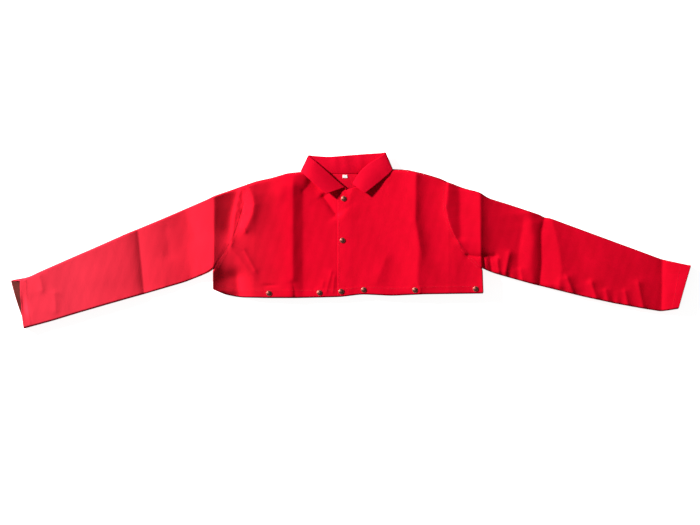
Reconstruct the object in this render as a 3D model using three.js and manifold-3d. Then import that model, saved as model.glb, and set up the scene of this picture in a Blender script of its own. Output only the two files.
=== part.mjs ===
// A cropped work jacket of flame-retardant cotton, laid face up on a flat surface with its sleeves spread.
// Millimetres, +Z up. +X runs to the wearer's left, +Y from the hem to the collar, and z = 0 is the surface.
// The origin is the middle of the footprint. The back lies flat, and the front and the sleeve tops stand
// clear of it, so that the body, both sleeves and the neck stay open.
import * as THREE from "three";
import { mergeVertices } from "three/addons/utils/BufferGeometryUtils.js";
import Module from "manifold-3d";

const wasm = await Module();
wasm.setup();
const { clamp, lerp } = THREE.MathUtils;

// Cloth and seams
const CLOTH = 1.2; // one layer of the body and sleeves
const COLLAR_CLOTH = 1.8; // the collar is two layers sewn together
const GAP = 0.3; // clearance between one piece and the next
const EDGE_TOP = 2 * CLOTH + GAP; // outer face of the top layer where it meets the back at a closed edge
const EDGE_RISE = 20; // how quickly the top layer climbs away from a closed edge
const LAP_RISE = CLOTH + GAP; // the upper front lies on the lower one by this much
const LAP_FADE = 25; // and comes down again over this width
const BACK_HEM_DROP = 2.5; // the back hem shows this far below the front hem

// Snap fasteners: a cap, a post through the cloth and a disc behind it
const SNAP = { capRadius: 7.5, capHeight: 3.3, postRadius: 2.2, backRadius: 6, backThick: 1.5, sides: 12 };
const SNAP_HOLE = SNAP.postRadius + GAP;
const SEAT = 8.5; // half the side of the flat seat that a snap presses into the cloth
const SEAT_FADE = 10; // the cloth picks up its own shape again over this width
const HEM_SNAP_UP = 9; // hem snaps stand this far above the hem line

// Neck label
const LABEL = { width: 15, length: 9, thick: 0.8, centreX: -12, topY: 157.5 };

const CENTRE_EDGE = { upper: -30, lower: -3 }; // x of the two front edges, which lap between these lines
const CREASE_X = { left: 155, right: -138 }; // the pressed fold down each front
const SIDE_X = { left: 319, right: -328 }; // the side seams

// A short table with named columns.
function table(columns, rows) {
  return rows.map((row) => Object.fromEntries(columns.map((name, i) => [name, row[i]])));
}

// How high the top layer stands along the jacket, from the right cuff to the left cuff of the wearer.
const LIFT = table(["x", "lift"], [
  [-814, 19],
  [-650, 19],
  [-450, 19],
  [-326, 15],
  [0, 15],
  [330, 15],
  [650, 13],
  [747, 12],
  [814, 25],
]);

// Folds: a crest (or a hollow, where rise is negative) from its top end to its bottom end, and how far the
// cloth takes to level out on the -X side and on the +X side.
const FOLDS = table(["topX", "topY", "endX", "endY", "rise", "before", "after"], [
  [-509, 28, -493, -127, -6, 22, 14], // pressed fold across the right forearm
  [-325, 107, -322, -72, 9, 60, 16], // pressed fold at the right shoulder
  [-246, 125, -248, 20, 3, 12, 9], // gathers at the right armhole
  [-138, 160, -138, -136, 8, 30, 18], // pressed fold down the right front
  [155, 166, 155, -128, 8, 34, 18], // pressed fold down the left front
  [311, 116, 309, -40, 10, 40, 13], // pressed fold at the left shoulder
  [436, 68, 444, -106, 5, 26, 9], // bend folds above the left elbow
  [488, 50, 482, -115, 6, 22, 40],
  [747, -46, 744, -169, -4, 34, 12], // pressed fold at the left cuff
]);
const FOLD_END = 18; // a fold fades out over this length past its ends

// The fronts' hem line and the silhouette of the shoulders, each from the wearer's right to the left.
const HEM = table(["x", "y"], [
  [-328, -115],
  [-300, -127],
  [-264, -134],
  [-195, -135.5],
  [-129, -135.5],
  [-24, -133],
  [29, -126.5],
  [100, -130],
  [178, -126.5],
  [319, -124.5],
]);
const SHOULDER_RIGHT = table(["x", "y"], [
  [-106, 166],
  [-150, 161.5],
  [-187, 150.5],
  [-226, 142],
  [-247, 134.5],
]);
const SHOULDER_LEFT = table(["x", "y"], [
  [97, 171.5],
  [139, 169.5],
  [178, 160.5],
  [216, 149],
  [233, 141],
]);

// Necklines, each from the centre front out to the shoulder, and the back neck from right to left.
const NECK_RIGHT = table(["x", "y"], [
  [-3, 119],
  [-34, 129],
  [-60, 140],
  [-84, 152],
  [-106, 166],
]);
const NECK_LEFT = table(["x", "y"], [
  [-30, 100],
  [-27, 110],
  [-20, 117],
  [-8, 121.5],
  [10, 126],
  [35, 135],
  [60, 147],
  [80, 158],
  [97, 171.5],
]);
const NECK_BACK = table(["x", "y"], [
  [-106, 166],
  [-85, 162.5],
  [-50, 160],
  [0, 159],
  [45, 161],
  [76, 165.5],
  [97, 171.5],
]);

// Armholes, from the underarm up to the shoulder.
const ARMHOLE_RIGHT = table(["x", "y"], [
  [-328, -69],
  [-306, -33],
  [-289, -5],
  [-277, 22],
  [-268, 50],
  [-260, 78],
  [-253, 106],
  [-247, 134.5],
]);
const ARMHOLE_LEFT = table(["x", "y"], [
  [317, -67],
  [295, -42],
  [272, -17],
  [256, 6],
  [243, 32],
  [234, 60],
  [231, 98],
  [233, 141],
]);

// Sleeves: a row for each section from the armhole to the cuff, with its ends on the upper and lower edges.
const SLEEVE_RIGHT = table(["upperX", "upperY", "lowerX", "lowerY"], [
  [-285, 121, -332, -72.5],
  [-325, 107, -339, -77],
  [-343, 98, -355, -84],
  [-390, 78, -396, -100],
  [-450, 52, -447, -115],
  [-509, 27.5, -493, -128.5],
  [-535, 17, -520, -136],
  [-600, -12, -588, -155.5],
  [-667, -41, -650, -173.5],
  [-735, -71, -714, -193],
  [-789, -96, -780, -211],
]);
const SLEEVE_LEFT = table(["upperX", "upperY", "lowerX", "lowerY"], [
  [272, 125.5, 322, -69],
  [311, 115.5, 329, -72.5],
  [331, 101.5, 346, -79],
  [382, 86, 388, -91],
  [436, 68, 444, -106.5],
  [462, 58.5, 462, -110.5],
  [488, 50, 482, -115.5],
  [560, 24, 556, -134],
  [636, -4, 634, -151],
  [700, -27.5, 700, -163],
  [747, -45, 744, -170],
  [779, -52, 764, -167.5],
  [814, -59.5, 785, -164],
]);
// The right cuff lies open: its rim is bowed, and its under layer runs past the upper one at the upper edge.
const RIGHT_CUFF = { bow: -9, overhang: -24.5, share: 0.65 };
const LEFT_CUFF = { bow: 0, overhang: 0, share: 1 };

// Collar: a row for each section from the right front round the back of the neck to the left front. The
// stand rises from the neck seam to the roll, and the fall turns back to the outer edge. facing is the way
// the collar faces there, in degrees: 90 is up, 180 to the wearer's right and 270 down.
const COLLAR = table(
  ["seamX", "seamY", "rollX", "rollY", "rollZ", "outerX", "outerY", "outerZ", "facing"],
  [
    [-9, 124, -12, 129, 25, -55, 113, 23, 90],
    [-33, 130.8, -32, 144, 28, -73, 126, 23, 95],
    [-60.5, 142, -57, 166, 28, -93, 143, 21, 105],
    [-88, 156.3, -83, 189, 22, -109, 158, 16, 125],
    [-104, 168, -99, 202.5, 10, -117, 167, 8, 180],
    [-88, 164.5, -85, 202, 5.5, -95, 173, 0.9, 262],
    [-50, 161, -50, 200, 5.5, -52, 169, 0.9, 270],
    [0, 160, -8, 203, 5.5, -6, 168, 0.9, 270],
    [45, 162, 40, 206.5, 5.5, 43, 171, 0.9, 270],
    [78, 167.5, 73, 208.5, 5.5, 80, 178, 0.9, 278],
    [95, 172.5, 84, 209.5, 10, 101, 172, 9, 360],
    [82, 161, 71, 199, 23, 94, 161, 20, 415],
    [60, 149, 47, 184, 30, 78, 147, 27, 435],
    [35, 136.5, 25, 164, 31, 56, 129, 29, 445],
    [12, 128, 7, 136, 27, 35, 113, 28, 450],
  ],
);
const COLLAR_STEPS = 3; // sections worked out between two rows
const ROLL_RADIUS = 2.5;
const ROLL_STEPS = 4;
const STAND_STEPS = 4;
const FALL_STEPS = 4;
const STAND_EASE = 2.6; // the stand leaves the seam steeply, then leans out
const LOWEST_COLLAR = COLLAR_CLOTH / 2 + 0.05; // where the fall lies on the surface

// Three snaps close the front through both layers. The others wait along the hem for an apron's bib.
const FRONT_SNAPS = table(["name", "x", "y"], [
  ["front_snap_top", -15, 100],
  ["front_snap_middle", -18, 0],
  ["front_snap_bottom", -21, -122],
]);
const HEM_SNAPS = table(["name", "x"], [
  ["hem_snap_right_outer", -194],
  ["hem_snap_right_inner", -73],
  ["hem_snap_left_inner", 33],
  ["hem_snap_left_middle", 155],
  ["hem_snap_left_outer", 300],
]);

const RED = 0xd80a28;
const clothMaterial = new THREE.MeshStandardMaterial({ color: RED, roughness: 0.85, metalness: 0 });
const collarMaterial = new THREE.MeshStandardMaterial({ color: RED, roughness: 0.8, metalness: 0 });
const snapMaterial = new THREE.MeshStandardMaterial({ color: 0x6b4a36, roughness: 0.35, metalness: 0.9 });
const labelMaterial = new THREE.MeshStandardMaterial({ color: 0xf4f1ee, roughness: 0.9, metalness: 0 });

// The value of one column at a place along a table whose rows run in the order of another column.
function along(rows, key, at, value) {
  const rising = rows.at(-1)[key] > rows[0][key];
  const next = rows.findIndex((row) => (rising ? row[key] >= at : row[key] <= at));
  if (next === 0) return rows[0][value];
  if (next < 0) return rows.at(-1)[value];
  const [a, b] = [rows[next - 1], rows[next]];
  return lerp(a[value], b[value], (at - a[key]) / (b[key] - a[key]));
}

const SNAPS = [
  ...FRONT_SNAPS.map((row) => ({ ...row, layers: 2 })),
  ...HEM_SNAPS.map((row) => ({ ...row, y: along(HEM, "x", row.x, "y") + HEM_SNAP_UP, layers: 1 })),
];

// Edges where the top layer is joined to the back or folds round to it.
function edgeLines() {
  const lines = [];
  for (const [shoulder, armhole, sleeve, sideX] of [
    [SHOULDER_RIGHT, ARMHOLE_RIGHT, SLEEVE_RIGHT, SIDE_X.right],
    [SHOULDER_LEFT, ARMHOLE_LEFT, SLEEVE_LEFT, SIDE_X.left],
  ]) {
    lines.push([...shoulder, ...sleeve.map((row) => ({ x: row.upperX, y: row.upperY }))]);
    lines.push([armhole[0], ...sleeve.map((row) => ({ x: row.lowerX, y: row.lowerY }))]);
    lines.push([armhole[0], { x: sideX, y: along(HEM, "x", sideX, "y") }]);
  }
  return lines;
}
const EDGE_LINES = edgeLines();

function distanceToSegment(x, y, a, b) {
  const [dx, dy] = [b.x - a.x, b.y - a.y];
  const t = clamp(((x - a.x) * dx + (y - a.y) * dy) / (dx * dx + dy * dy), 0, 1);
  return Math.hypot(x - a.x - t * dx, y - a.y - t * dy);
}

function distanceToEdge(x, y) {
  let nearest = Infinity;
  for (const line of EDGE_LINES)
    for (let i = 1; i < line.length; i++)
      nearest = Math.min(nearest, distanceToSegment(x, y, line[i - 1], line[i]));
  return nearest;
}

function foldHeight(fold, x, y) {
  const [dx, dy] = [fold.endX - fold.topX, fold.endY - fold.topY];
  const length = Math.hypot(dx, dy);
  const run = ((x - fold.topX) * dx + (y - fold.topY) * dy) / length;
  const across = ((x - fold.topX) * -dy + (y - fold.topY) * dx) / length; // positive on the +X side
  const past = Math.max(-run, run - length, 0);
  const fade = Math.max(0, 1 - past / FOLD_END);
  return fold.rise * fade * Math.exp(-Math.abs(across) / (across < 0 ? fold.before : fold.after));
}

// Outer face of the top layer above the surface at a place in plan, before the snaps are pressed in.
function looseHeight(x, y) {
  const climb = 1 - Math.exp(-distanceToEdge(x, y) / EDGE_RISE);
  const folds = FOLDS.reduce((sum, fold) => sum + foldHeight(fold, x, y), 0);
  return EDGE_TOP + climb * (along(LIFT, "x", x, "lift") + folds);
}

// The plane that a snap presses flat: the mean height and slopes of the cloth at the corners of its seat.
function seatOf(snap) {
  const corner = (i, j) => looseHeight(snap.x + i * SEAT, snap.y + j * SEAT);
  const [a, b, c, d] = [corner(-1, -1), corner(1, -1), corner(-1, 1), corner(1, 1)];
  return {
    x: snap.x,
    y: snap.y,
    z: (a + b + c + d) / 4,
    slopeX: (b + d - a - c) / (4 * SEAT),
    slopeY: (c + d - a - b) / (4 * SEAT),
  };
}
const SEATS = SNAPS.map(seatOf);
const SEAT_RADIUS = SEAT * Math.SQRT2 + 0.3;

// Outer face of the top layer with the seats of the snaps pressed into it.
function topHeight(x, y) {
  const seat = SEATS.find((s) => Math.hypot(x - s.x, y - s.y) < SEAT_RADIUS + SEAT_FADE);
  if (!seat) return looseHeight(x, y);
  const plane = seat.z + (x - seat.x) * seat.slopeX + (y - seat.y) * seat.slopeY;
  const away = clamp((Math.hypot(x - seat.x, y - seat.y) - SEAT_RADIUS) / SEAT_FADE, 0, 1);
  return lerp(plane, looseHeight(x, y), away);
}

// The left front lies over the right one, so it runs higher there.
function upperFrontHeight(x, y) {
  return topHeight(x, y) + LAP_RISE * clamp(1 - (x - CENTRE_EDGE.lower) / LAP_FADE, 0, 1);
}

// Solids

function geometryFrom(points, triangles) {
  const geometry = new THREE.BufferGeometry();
  const positions = points.flatMap((p) => [p.x, p.y, p.z]);
  geometry.setAttribute("position", new THREE.Float32BufferAttribute(positions, 3));
  let volume = 0;
  for (const [a, b, c] of triangles)
    volume += points[a].dot(new THREE.Vector3().crossVectors(points[b], points[c]));
  const outward = volume > 0 ? triangles : triangles.map(([a, b, c]) => [a, c, b]);
  geometry.setIndex(outward.flat());
  geometry.computeVertexNormals();
  return geometry;
}

// A wall between two equal grids of points: both faces and the rim round the four sides.
function sheetSolid(upper, lower) {
  const [rows, columns] = [upper.length, upper[0].length];
  const points = [...upper.flat(), ...lower.flat()];
  const top = (r, c) => r * columns + c;
  const under = (r, c) => rows * columns + r * columns + c;
  const triangles = [];
  const quad = (a, b, c, d) => triangles.push([a, b, c], [a, c, d]);
  for (let r = 0; r + 1 < rows; r++)
    for (let c = 0; c + 1 < columns; c++) {
      quad(top(r, c), top(r, c + 1), top(r + 1, c + 1), top(r + 1, c));
      quad(under(r, c), under(r + 1, c), under(r + 1, c + 1), under(r, c + 1));
    }
  const rim = [];
  for (let c = 0; c + 1 < columns; c++) rim.push([0, c]);
  for (let r = 0; r + 1 < rows; r++) rim.push([r, columns - 1]);
  for (let c = columns - 1; c > 0; c--) rim.push([rows - 1, c]);
  for (let r = rows - 1; r > 0; r--) rim.push([r, 0]);
  rim.forEach(([r, c], i) => {
    const [r2, c2] = rim[(i + 1) % rim.length];
    quad(top(r, c), under(r, c), under(r2, c2), top(r2, c2));
  });
  return geometryFrom(points, triangles);
}

// A wall between two equal stacks of closed loops, joined by a ring at each end.
function tubeSolid(outer, inner) {
  const [loops, sides] = [outer.length, outer[0].length];
  const points = [...outer.flat(), ...inner.flat()];
  const out = (l, s) => l * sides + (s % sides);
  const into = (l, s) => loops * sides + l * sides + (s % sides);
  const triangles = [];
  const quad = (a, b, c, d) => triangles.push([a, b, c], [a, c, d]);
  for (let s = 0; s < sides; s++) {
    for (let l = 0; l + 1 < loops; l++) {
      quad(out(l, s), out(l, s + 1), out(l + 1, s + 1), out(l + 1, s));
      quad(into(l, s), into(l + 1, s), into(l + 1, s + 1), into(l, s + 1));
    }
    quad(out(0, s + 1), out(0, s), into(0, s), into(0, s + 1));
    quad(out(loops - 1, s), out(loops - 1, s + 1), into(loops - 1, s + 1), into(loops - 1, s));
  }
  return geometryFrom(points, triangles);
}

function toManifold(geometry) {
  const bare = geometry.clone();
  bare.deleteAttribute("normal");
  bare.deleteAttribute("uv");
  const merged = mergeVertices(bare, 1e-4);
  const vertProperties = new Float32Array(merged.attributes.position.array);
  const triVerts = new Uint32Array(merged.index.array);
  return new wasm.Manifold(new wasm.Mesh({ numProp: 3, vertProperties, triVerts }));
}

function fromManifold(solid) {
  const mesh = solid.getMesh();
  const geometry = new THREE.BufferGeometry();
  geometry.setAttribute("position", new THREE.BufferAttribute(mesh.vertProperties, 3));
  geometry.setIndex(new THREE.BufferAttribute(mesh.triVerts, 1));
  geometry.computeVertexNormals();
  return geometry;
}

// Places along a line of points, as a share of its length at each point and as a point at a share.
function measured(points) {
  const shares = [0];
  for (let i = 1; i < points.length; i++)
    shares.push(shares[i - 1] + Math.hypot(points[i].x - points[i - 1].x, points[i].y - points[i - 1].y));
  const rows = points.map((p, i) => ({ share: shares[i] / shares.at(-1), x: p.x, y: p.y }));
  const at = (share) => ({ x: along(rows, "share", share, "x"), y: along(rows, "share", share, "y") });
  return { shares: rows.map((row) => row.share), at };
}

// Fronts

// A front is a patch between its hem, its centre edge, its neck and shoulder, and its side and armhole.
// The column at creaseShare keeps to the pressed fold all the way up.
const CREASE_SHARE = 0.5;
const CREASE_SIDES = [-0.09, -0.03, 0.03, 0.09]; // columns that follow the crest closely
const FRONT_STEP = 0.085; // spacing of the other columns
const ROW_STEP = 0.12; // and of the rows
const SEAT_ROW = 0.067; // the row along the top of the hem snaps' seats

function frontPanel({ centreX, creaseX, neck, shoulder, armhole, sideX, height }) {
  const top = [...neck, ...shoulder.slice(1)];
  const side = measured([{ x: sideX, y: along(HEM, "x", sideX, "y") }, ...armhole]);
  const xAt = (u, v) => {
    if (u <= CREASE_SHARE) return lerp(centreX, creaseX, u / CREASE_SHARE);
    return lerp(creaseX, side.at(v).x, (u - CREASE_SHARE) / (1 - CREASE_SHARE));
  };
  const shareAt = (x, endX) => {
    if (Math.abs(x - centreX) <= Math.abs(creaseX - centreX))
      return (CREASE_SHARE * (x - centreX)) / (creaseX - centreX);
    return lerp(CREASE_SHARE, 1, (x - creaseX) / (endX - creaseX));
  };
  const [low, high] = [side.at(0).y, side.at(1).y];
  const place = (u, v) => {
    const y = lerp(along(HEM, "x", xAt(u, 0), "y"), along(top, "x", xAt(u, 1), "y"), v);
    return { x: xAt(u, v), y: y + u * (side.at(v).y - lerp(low, high, v)) };
  };
  const seats = HEM_SNAPS.filter((snap) => Math.sign(snap.x) === Math.sign(creaseX));
  const columns = spaced(
    [
      ...seats.flatMap((snap) => [shareAt(snap.x - SEAT, sideX), shareAt(snap.x + SEAT, sideX)]),
      ...top.map((p) => shareAt(p.x, armhole.at(-1).x)),
      ...CREASE_SIDES.map((s) => CREASE_SHARE + s),
      CREASE_SHARE,
    ],
    FRONT_STEP,
  );
  const rows = spaced([SEAT_ROW, ...side.shares], ROW_STEP);
  const upper = rows.map((v) =>
    columns.map((u) => {
      const { x, y } = place(u, v);
      return new THREE.Vector3(x, y, height(x, y));
    }),
  );
  const lower = upper.map((row) => row.map((p) => new THREE.Vector3(p.x, p.y, p.z - CLOTH)));
  return sheetSolid(upper, lower);
}

// The wanted shares in order, without near repeats and with more where two lie further apart than the step.
function spaced(wanted, step) {
  const nearest = 0.006;
  const kept = wanted.filter((s, i) => wanted.findIndex((other) => Math.abs(other - s) < nearest) === i);
  const sorted = kept.sort((a, b) => a - b);
  return sorted.flatMap((s, i) => {
    if (i === 0) return [s];
    const parts = Math.ceil((s - sorted[i - 1]) / step);
    return Array.from({ length: parts }, (_, k) => lerp(sorted[i - 1], s, (k + 1) / parts));
  });
}

// Back

function backPanel() {
  const hem = HEM.map((p) => ({ x: p.x, y: p.y - BACK_HEM_DROP }));
  const outline = [
    ...hem,
    ...ARMHOLE_LEFT,
    ...SHOULDER_LEFT.slice(0, -1).reverse(),
    ...NECK_BACK.slice(1, -1).reverse(),
    ...SHOULDER_RIGHT.slice(0, -1),
    ...ARMHOLE_RIGHT.toReversed(),
  ];
  const shape = new THREE.Shape(outline.map((p) => new THREE.Vector2(p.x, p.y)));
  return new THREE.ExtrudeGeometry(shape, { depth: CLOTH, bevelEnabled: false });
}

// Sleeves

const SLEEVE_STEP = 36; // longest run between two sections
const EDGE_SHARES = [0.035, 0.965]; // extra points where the top layer turns down to its edge

function sleeve(armhole, rows, cuff) {
  const direction = Math.sign(rows.at(-1).upperX);
  const hole = measured(armhole.toReversed());
  const gapped = (p) => ({ x: p.x + direction * 1.3 * GAP, y: p.y });
  const straight = (row) => (w) => ({
    x: lerp(row.upperX, row.lowerX, w),
    y: lerp(row.upperY, row.lowerY, w),
  });
  const sections = [(w) => gapped(hole.at(w)), ...rows.map(straight)];
  const stations = sections.flatMap((section, i) => {
    if (i === 0) return [section];
    const before = sections[i - 1];
    const parts = Math.ceil(Math.abs(section(0).x - before(0).x) / SLEEVE_STEP);
    return Array.from({ length: parts }, (_, k) => (w) => {
      const [a, b, t] = [before(w), section(w), (k + 1) / parts];
      return { x: lerp(a.x, b.x, t), y: lerp(a.y, b.y, t) };
    });
  });
  const topShares = [...hole.shares, ...EDGE_SHARES].sort((a, b) => a - b);
  const underShares = hole.shares.toReversed();
  const outer = [];
  const inner = [];
  stations.forEach((place, i) => {
    const width = Math.hypot(place(0).x - place(1).x, place(0).y - place(1).y);
    const inset = CLOTH / width;
    const inside = (w) => place(clamp(w, inset, 1 - inset));
    const atCuff = i === stations.length - 1 ? 1 : 0;
    const bowed = (p, w) => ({ x: p.x + atCuff * 4 * cuff.bow * w * (1 - w), y: p.y });
    const past = (p, w) => {
      const { x, y } = bowed(p, w);
      return { x: x + atCuff * cuff.overhang * Math.max(0, 1 - w / cuff.share), y };
    };
    const topZ = (w) => topHeight(place(w).x, place(w).y);
    const point = (p, z) => new THREE.Vector3(p.x, p.y, z);
    outer.push([
      ...topShares.map((w) => point(bowed(place(w), w), topZ(w))),
      ...underShares.map((w) => point(past(place(w), w), 0)),
    ]);
    inner.push([
      ...topShares.map((w) => point(bowed(inside(w), w), topZ(w) - CLOTH)),
      ...underShares.map((w) => point(past(inside(w), w), CLOTH)),
    ]);
  });
  return tubeSolid(outer, inner);
}

// Collar

// One section of the collar's middle surface: the stand, half a turn round the roll, and the fall.
function collarSection(row) {
  const onFront = Math.sin(THREE.MathUtils.degToRad(row.facing)) > 0;
  const seamZ = onFront ? topHeight(row.seamX, row.seamY) - CLOTH / 2 : 0;
  const seam = new THREE.Vector3(row.seamX, row.seamY, Math.max(seamZ, LOWEST_COLLAR));
  const roll = new THREE.Vector3(row.rollX, row.rollY, row.rollZ);
  const outer = new THREE.Vector3(row.outerX, row.outerY, Math.max(row.outerZ, LOWEST_COLLAR));
  const facing = THREE.MathUtils.degToRad(row.facing);
  const out = new THREE.Vector3(Math.cos(facing), 0, Math.sin(facing));
  const up = roll.clone().sub(seam).setZ(0).normalize();
  const centre = roll.clone().addScaledVector(up, -ROLL_RADIUS);
  const standEnd = centre.clone().addScaledVector(out, -ROLL_RADIUS);
  const fallStart = centre.clone().addScaledVector(out, ROLL_RADIUS);
  const points = [];
  for (let i = 0; i < STAND_STEPS; i++) {
    const t = i / STAND_STEPS;
    const eased = 1 - (1 - t) ** STAND_EASE;
    const point = seam.clone().lerp(standEnd, t);
    points.push(point.setZ(lerp(seam.z, standEnd.z, eased)));
  }
  for (let i = 0; i <= ROLL_STEPS; i++) {
    const turn = (Math.PI * i) / ROLL_STEPS;
    const point = centre.clone().addScaledVector(out, -ROLL_RADIUS * Math.cos(turn));
    points.push(point.addScaledVector(up, ROLL_RADIUS * Math.sin(turn)));
  }
  for (let i = 1; i <= FALL_STEPS; i++) points.push(fallStart.clone().lerp(outer, i / FALL_STEPS));
  return points;
}

function collar() {
  const names = Object.keys(COLLAR[0]);
  const smoothed = (name) => new THREE.SplineCurve(COLLAR.map((row, i) => new THREE.Vector2(i, row[name])));
  const curves = Object.fromEntries(names.map((name) => [name, smoothed(name)]));
  const count = (COLLAR.length - 1) * COLLAR_STEPS;
  const grid = Array.from({ length: count + 1 }, (_, i) =>
    collarSection(Object.fromEntries(names.map((name) => [name, curves[name].getPoint(i / count).y]))),
  );
  return thickened(grid, COLLAR_CLOTH);
}

// A wall of even thickness on both sides of a grid of points.
function thickened(grid, thickness) {
  const [rows, columns] = [grid.length, grid[0].length];
  const normal = (r, c) => {
    const alongRow = grid[Math.min(r + 1, rows - 1)][c].clone().sub(grid[Math.max(r - 1, 0)][c]);
    const alongColumn = grid[r][Math.min(c + 1, columns - 1)].clone().sub(grid[r][Math.max(c - 1, 0)]);
    return alongRow.cross(alongColumn).normalize();
  };
  const shifted = (by) =>
    grid.map((row, r) => row.map((p, c) => p.clone().addScaledVector(normal(r, c), by)));
  return sheetSolid(shifted(thickness / 2), shifted(-thickness / 2));
}

// Snaps and label

// Turned about the post's axis, with y = 0 on the outer face of the cloth.
function snapGeometry(layers) {
  const behind = -(layers * CLOTH + (layers - 1) * GAP + GAP);
  const base = behind - SNAP.backThick;
  const profile = [
    [0, base],
    [SNAP.backRadius, base],
    [SNAP.backRadius, behind],
    [SNAP.postRadius, behind],
    [SNAP.postRadius, GAP],
    [SNAP.capRadius * 0.94, GAP],
    [SNAP.capRadius, SNAP.capHeight * 0.35],
    [SNAP.capRadius * 0.84, SNAP.capHeight * 0.68],
    [SNAP.capRadius * 0.5, SNAP.capHeight * 0.92],
    [0, SNAP.capHeight],
  ];
  return new THREE.LatheGeometry(profile.map(([r, y]) => new THREE.Vector2(r, y)), SNAP.sides);
}

function snapMesh(place, i) {
  const height = place.x > CENTRE_EDGE.upper ? upperFrontHeight : topHeight;
  const normal = new THREE.Vector3(-SEATS[i].slopeX, -SEATS[i].slopeY, 1).normalize();
  const mesh = new THREE.Mesh(snapGeometry(place.layers), snapMaterial);
  mesh.name = place.name;
  mesh.position.set(place.x, place.y, height(place.x, place.y));
  mesh.quaternion.setFromUnitVectors(new THREE.Vector3(0, 1, 0), normal);
  return mesh;
}

// Cuts the post holes of the snaps out of a front.
function withHoles(geometry, snaps) {
  let solid = toManifold(geometry);
  for (const snap of snaps) {
    const drill = new THREE.CylinderGeometry(SNAP_HOLE, SNAP_HOLE, 30, SNAP.sides);
    snap.updateMatrix();
    drill.applyMatrix4(snap.matrix);
    solid = solid.subtract(toManifold(drill));
  }
  return fromManifold(solid);
}

function neckLabel() {
  const geometry = new THREE.BoxGeometry(LABEL.width, LABEL.length, LABEL.thick);
  return geometry.translate(LABEL.centreX, LABEL.topY - LABEL.length / 2, CLOTH + GAP + LABEL.thick / 2);
}

// Assembly

const jacket = new THREE.Group();

function addPiece(name, geometry, material) {
  const mesh = new THREE.Mesh(geometry, material);
  mesh.name = name;
  jacket.add(mesh);
}

const snaps = SNAPS.map(snapMesh);
const laps = snaps.filter((snap, i) => SNAPS[i].layers === 2);
const rightFront = frontPanel({
  centreX: CENTRE_EDGE.lower,
  creaseX: CREASE_X.right,
  neck: NECK_RIGHT,
  shoulder: SHOULDER_RIGHT,
  armhole: ARMHOLE_RIGHT,
  sideX: SIDE_X.right,
  height: topHeight,
});
const leftFront = frontPanel({
  centreX: CENTRE_EDGE.upper,
  creaseX: CREASE_X.left,
  neck: NECK_LEFT,
  shoulder: SHOULDER_LEFT,
  armhole: ARMHOLE_LEFT,
  sideX: SIDE_X.left,
  height: upperFrontHeight,
});
addPiece("back_panel", backPanel(), clothMaterial);
const onRight = snaps.filter((snap) => snap.position.x < CENTRE_EDGE.upper);
const onLeft = snaps.filter((snap) => snap.position.x > CENTRE_EDGE.upper);
addPiece("front_panel_right", withHoles(rightFront, [...laps, ...onRight]), clothMaterial);
addPiece("front_panel_left", withHoles(leftFront, onLeft), clothMaterial);
addPiece("sleeve_right", sleeve(ARMHOLE_RIGHT, SLEEVE_RIGHT, RIGHT_CUFF), clothMaterial);
addPiece("sleeve_left", sleeve(ARMHOLE_LEFT, SLEEVE_LEFT, LEFT_CUFF), clothMaterial);
addPiece("collar", collar(), collarMaterial);
addPiece("neck_label", neckLabel(), labelMaterial);
for (const snap of snaps) jacket.add(snap);

export default jacket;
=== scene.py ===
from functools import partial
import bpy
import numpy as np
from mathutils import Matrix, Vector


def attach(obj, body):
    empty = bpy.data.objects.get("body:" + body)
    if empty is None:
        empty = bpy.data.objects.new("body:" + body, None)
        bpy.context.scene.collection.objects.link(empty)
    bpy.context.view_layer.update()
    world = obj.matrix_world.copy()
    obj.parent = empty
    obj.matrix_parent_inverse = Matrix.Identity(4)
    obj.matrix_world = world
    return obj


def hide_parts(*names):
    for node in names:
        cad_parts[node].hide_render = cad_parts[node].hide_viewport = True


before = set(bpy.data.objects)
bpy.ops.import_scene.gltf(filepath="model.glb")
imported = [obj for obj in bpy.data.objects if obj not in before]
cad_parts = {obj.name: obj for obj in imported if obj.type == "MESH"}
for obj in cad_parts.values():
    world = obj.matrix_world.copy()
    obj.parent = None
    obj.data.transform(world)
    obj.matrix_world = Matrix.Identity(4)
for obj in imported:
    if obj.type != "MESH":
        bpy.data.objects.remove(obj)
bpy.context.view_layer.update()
mm = 0.001  # shapes are worked out in millimetres and become meshes in metres
fullTurn = 2 * np.pi
tiny = 1e-9  # keeps a zero length out of a division
print("frame loaded:", len(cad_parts), "nodes")

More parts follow.
